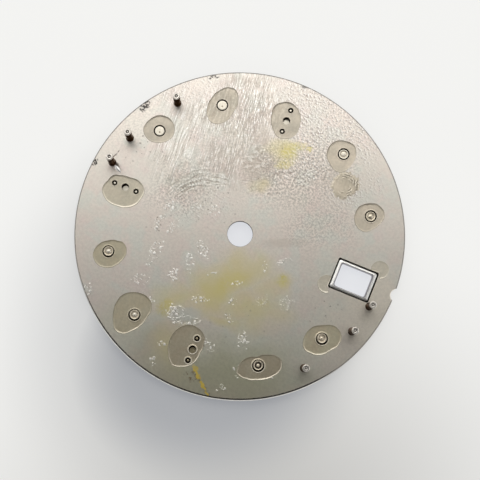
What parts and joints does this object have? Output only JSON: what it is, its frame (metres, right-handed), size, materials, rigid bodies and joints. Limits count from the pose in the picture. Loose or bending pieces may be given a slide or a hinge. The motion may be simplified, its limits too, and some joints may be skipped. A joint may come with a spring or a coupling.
{
  "type": "watch dial",
  "caption": "Round metal watch dial with applied luminous hour markers, a framed date window, clear lacquer over the marker feet, and posts on the back that pin it to a movement.",
  "frame": {"origin": "centre of the middle hole, on the back face of the dial plate", "axes": "+Z out of the back, along the dial feet; +Y towards 12 o'clock; 3 o'clock and the date window at -X"},
  "size_m": [0.0284, 0.0284, 0.0035],
  "materials": {
    "plate": "brushed, silver-grey plating with stains",
    "foot_metal": "drawn and soldered, grey",
    "polished_metal": "polished",
    "luminous_filling": "matte",
    "lacquer": "clear, brushed on by hand"
  },
  "bodies": {
    "root": {"dial_plate": "plate", "date_frame": "polished_metal", "dial_foot_a_date_side": "foot_metal", "dial_foot_a_far_side": "foot_metal", "dial_foot_b_date_side": "foot_metal", "dial_foot_b_far_side": "foot_metal", "dial_foot_c_date_side": "foot_metal", "dial_foot_c_far_side": "foot_metal", "hour_marker_01": "polished_metal", "lume_filling_01": "luminous_filling", "lacquer_01": "lacquer", "hour_marker_02": "polished_metal", "lume_filling_02": "luminous_filling", "lacquer_02": "lacquer", "hour_marker_04": "polished_metal", "lume_filling_04": "luminous_filling", "lacquer_04": "lacquer", "hour_marker_05": "polished_metal", "lume_filling_05": "luminous_filling", "lacquer_05": "lacquer", "hour_marker_06": "polished_metal", "lume_filling_06": "luminous_filling", "lacquer_06": "lacquer", "hour_marker_07": "polished_metal", "lume_filling_07": "luminous_filling", "lacquer_07": "lacquer", "hour_marker_08": "polished_metal", "lume_filling_08": "luminous_filling", "lacquer_08": "lacquer", "hour_marker_09": "polished_metal", "lume_filling_09": "luminous_filling", "lacquer_09": "lacquer", "hour_marker_10": "polished_metal", "lume_filling_10": "luminous_filling", "lacquer_10": "lacquer", "hour_marker_11": "polished_metal", "lume_filling_11": "luminous_filling", "lacquer_11": "lacquer", "hour_marker_12": "polished_metal", "lume_filling_12": "luminous_filling", "lacquer_12": "lacquer", "lacquer_date_inner": "lacquer", "lacquer_date_outer": "lacquer", "lacquer_smear": "lacquer"}
  },
  "joints": []
}
